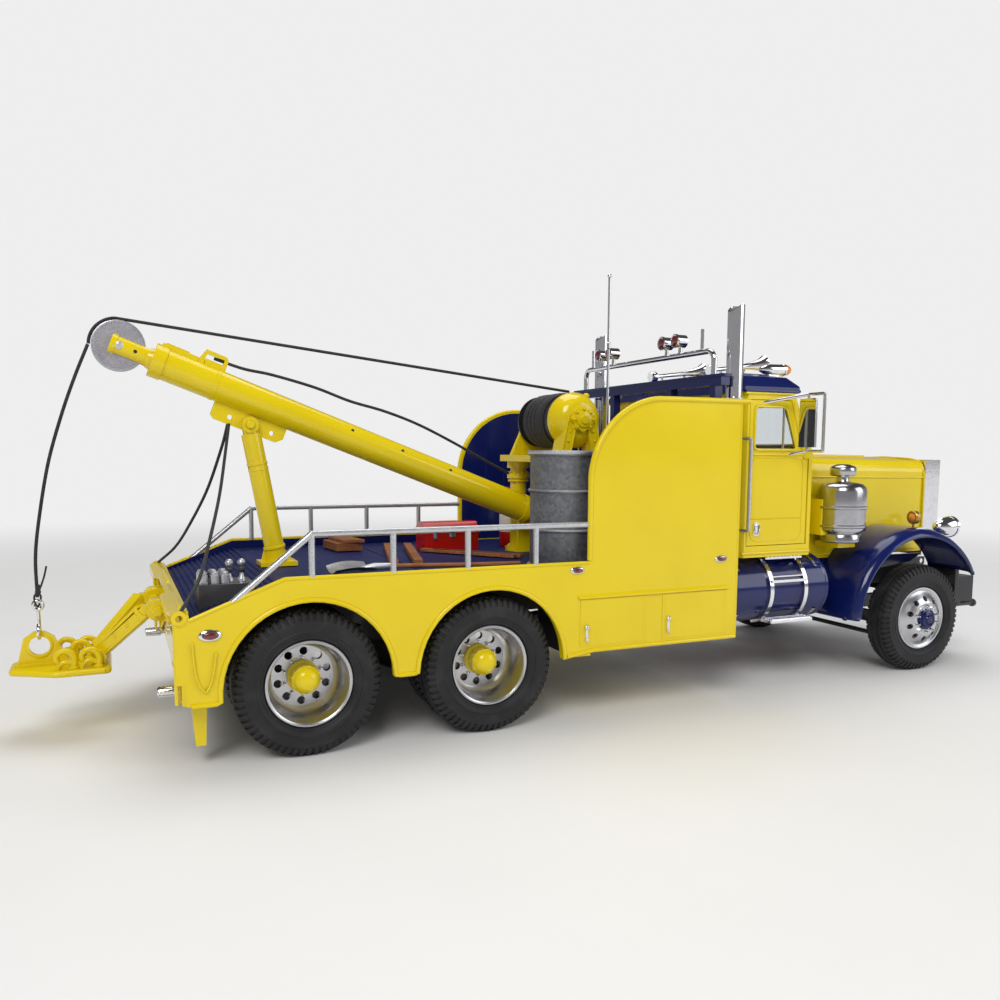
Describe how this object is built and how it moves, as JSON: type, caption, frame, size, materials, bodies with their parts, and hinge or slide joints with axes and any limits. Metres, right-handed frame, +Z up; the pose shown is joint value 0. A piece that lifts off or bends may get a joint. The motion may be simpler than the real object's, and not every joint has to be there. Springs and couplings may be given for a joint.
{
  "type": "tow truck scale model",
  "caption": "Scale model of a conventional-cab wrecker with a single boom, winch, tow bar, tilting hood, opening doors and steered wheels.",
  "frame": {"origin": "on the floor under the middle of the model's bounding box", "axes": "+X forward along the truck, +Y to the driver's left, +Z up"},
  "size_m": [0.3632, 0.1198, 0.1455],
  "materials": {
    "yellow_paint": "gloss",
    "navy_paint": "gloss",
    "chrome": "polished",
    "chassis_black": "satin",
    "tyre": "matte",
    "wheel_alloy": "polished",
    "rail_silver": "satin",
    "galvanised": "satin",
    "sheave_grey": "satin",
    "red_paint": "gloss",
    "engine_paint": "satin",
    "clear_styrene": "clear",
    "interior_grey": "matte",
    "rope_black": "matte"
  },
  "bodies": {
    "chassis": {"frame_rails": "chassis_black", "front_axle": "chassis_black", "leaf_springs": "chassis_black", "drive_axles": "chassis_black", "engine": "engine_paint", "fuel_tanks": "navy_paint", "tank_steps": "chrome", "bumper": "chassis_black", "cab_shell": "yellow_paint", "cab_roof": "navy_paint", "cab_interior": "interior_grey", "cab_glass": "clear_styrene", "exhaust_stacks": "chrome", "headache_rack": "navy_paint", "light_bar": "chrome", "antenna": "chrome", "hand_rails": "rail_silver", "bed_deck": "navy_paint", "bed_side_right": "yellow_paint", "bed_side_left": "yellow_paint", "tail_plate": "yellow_paint", "winch_frame": "yellow_paint", "winch_gearbox": "yellow_paint", "barrel": "galvanised", "tool_chest": "red_paint", "control_unit": "galvanised"},
    "winch_drum": {"winch_drum": "rope_black"},
    "boom": {"boom": "yellow_paint", "winch_line": "rope_black", "hanging_line": "rope_black", "boom_line": "rope_black", "tie_lines": "rope_black"},
    "sheave": {"sheave": "sheave_grey"},
    "support_leg": {"support_leg": "yellow_paint"},
    "tow_bar": {"tow_bar": "yellow_paint", "tow_hook": "chrome"},
    "knuckle_right": {"knuckle_right": "chassis_black"},
    "knuckle_left": {"knuckle_left": "chassis_black"},
    "tie_rod": {"tie_rod": "chassis_black"},
    "hood": {"hood": "yellow_paint", "front_fenders": "navy_paint", "radiator_shell": "chrome", "headlights": "chrome", "air_cleaners": "chrome"},
    "door_right": {"door_right": "yellow_paint", "mirror_right": "chrome"},
    "door_left": {"door_left": "yellow_paint", "mirror_left": "chrome"},
    "front_wheel_right": {"front_tyre_right": "tyre", "front_rim_right": "wheel_alloy"},
    "front_wheel_left": {"front_tyre_left": "tyre", "front_rim_left": "wheel_alloy"},
    "mid_wheels_right": {"mid_tyres_right": "tyre", "mid_rims_right": "wheel_alloy"},
    "mid_wheels_left": {"mid_tyres_left": "tyre", "mid_rims_left": "wheel_alloy"},
    "rear_wheels_right": {"rear_tyres_right": "tyre", "rear_rims_right": "wheel_alloy"},
    "rear_wheels_left": {"rear_tyres_left": "tyre", "rear_rims_left": "wheel_alloy"}
  },
  "joints": [
    {"name": "rear_wheels_right_spin", "type": "hinge", "parent": "chassis", "child": "rear_wheels_right", "pos_m": [-0.1034, -0.0494, 0.021], "axis": [0, 1, 0], "continuous": true},
    {"name": "mid_wheels_right_spin", "type": "hinge", "parent": "chassis", "child": "mid_wheels_right", "pos_m": [-0.048, -0.0494, 0.021], "axis": [0, 1, 0], "continuous": true},
    {"name": "front_wheel_right_spin", "type": "hinge", "parent": "knuckle_right", "child": "front_wheel_right", "pos_m": [0.1412, -0.0453, 0.021], "axis": [0, 1, 0], "continuous": true},
    {"name": "steer_right", "type": "hinge", "parent": "chassis", "child": "knuckle_right", "pos_m": [0.1412, -0.0375, 0.021], "axis": [0, 0, 1], "range_deg": [-28, 28]},
    {"name": "door_right_open", "type": "hinge", "parent": "chassis", "child": "door_right", "pos_m": [0.0822, -0.04525, 0.0698], "axis": [0, 0, 1], "range_deg": [0, 70]},
    {"name": "rear_wheels_left_spin", "type": "hinge", "parent": "chassis", "child": "rear_wheels_left", "pos_m": [-0.1034, 0.0494, 0.021], "axis": [0, 1, 0], "continuous": true},
    {"name": "mid_wheels_left_spin", "type": "hinge", "parent": "chassis", "child": "mid_wheels_left", "pos_m": [-0.048, 0.0494, 0.021], "axis": [0, 1, 0], "continuous": true},
    {"name": "front_wheel_left_spin", "type": "hinge", "parent": "knuckle_left", "child": "front_wheel_left", "pos_m": [0.1412, 0.0453, 0.021], "axis": [0, 1, 0], "continuous": true},
    {"name": "steer_left", "type": "hinge", "parent": "chassis", "child": "knuckle_left", "pos_m": [0.1412, 0.0375, 0.021], "axis": [0, 0, 1], "range_deg": [-28, 28]},
    {"name": "door_left_open", "type": "hinge", "parent": "chassis", "child": "door_left", "pos_m": [0.0822, 0.04525, 0.0698], "axis": [0, 0, -1], "range_deg": [0, 70]},
    {"name": "tie_rod_swing", "type": "hinge", "parent": "knuckle_right", "child": "tie_rod", "pos_m": [0.1292, -0.0375, 0.0136], "axis": [0, 0, 1], "range_deg": [-28, 28]},
    {"name": "hood_tilt", "type": "hinge", "parent": "chassis", "child": "hood", "pos_m": [0.1796, 0, 0.0384], "axis": [0, 1, 0], "range_deg": [0, 60]},
    {"name": "winch_drum_spin", "type": "hinge", "parent": "chassis", "child": "winch_drum", "pos_m": [0.0002, -0.0025, 0.0976], "axis": [0, 1, 0], "continuous": true},
    {"name": "boom_raise", "type": "hinge", "parent": "chassis", "child": "boom", "pos_m": [-0.0065, 0, 0.0631], "axis": [0, 1, 0], "range_deg": [0, 20]},
    {"name": "sheave_spin", "type": "hinge", "parent": "boom", "child": "sheave", "pos_m": [-0.14878, 0, 0.11772], "axis": [0, 1, 0], "continuous": true},
    {"name": "support_leg_fold", "type": "hinge", "parent": "boom", "child": "support_leg", "pos_m": [-0.11066, 0, 0.09451], "axis": [0, -1, 0], "range_deg": [0, 45]},
    {"name": "tow_bar_lower", "type": "hinge", "parent": "chassis", "child": "tow_bar", "pos_m": [-0.141, 0, 0.038], "axis": [0, -1, 0], "range_deg": [0, 16]}
  ],
  "couplings": [
    {"joint": "steer_left", "follows": "steer_right", "ratio": 1},
    {"joint": "tie_rod_swing", "follows": "steer_right", "ratio": -1}
  ]
}
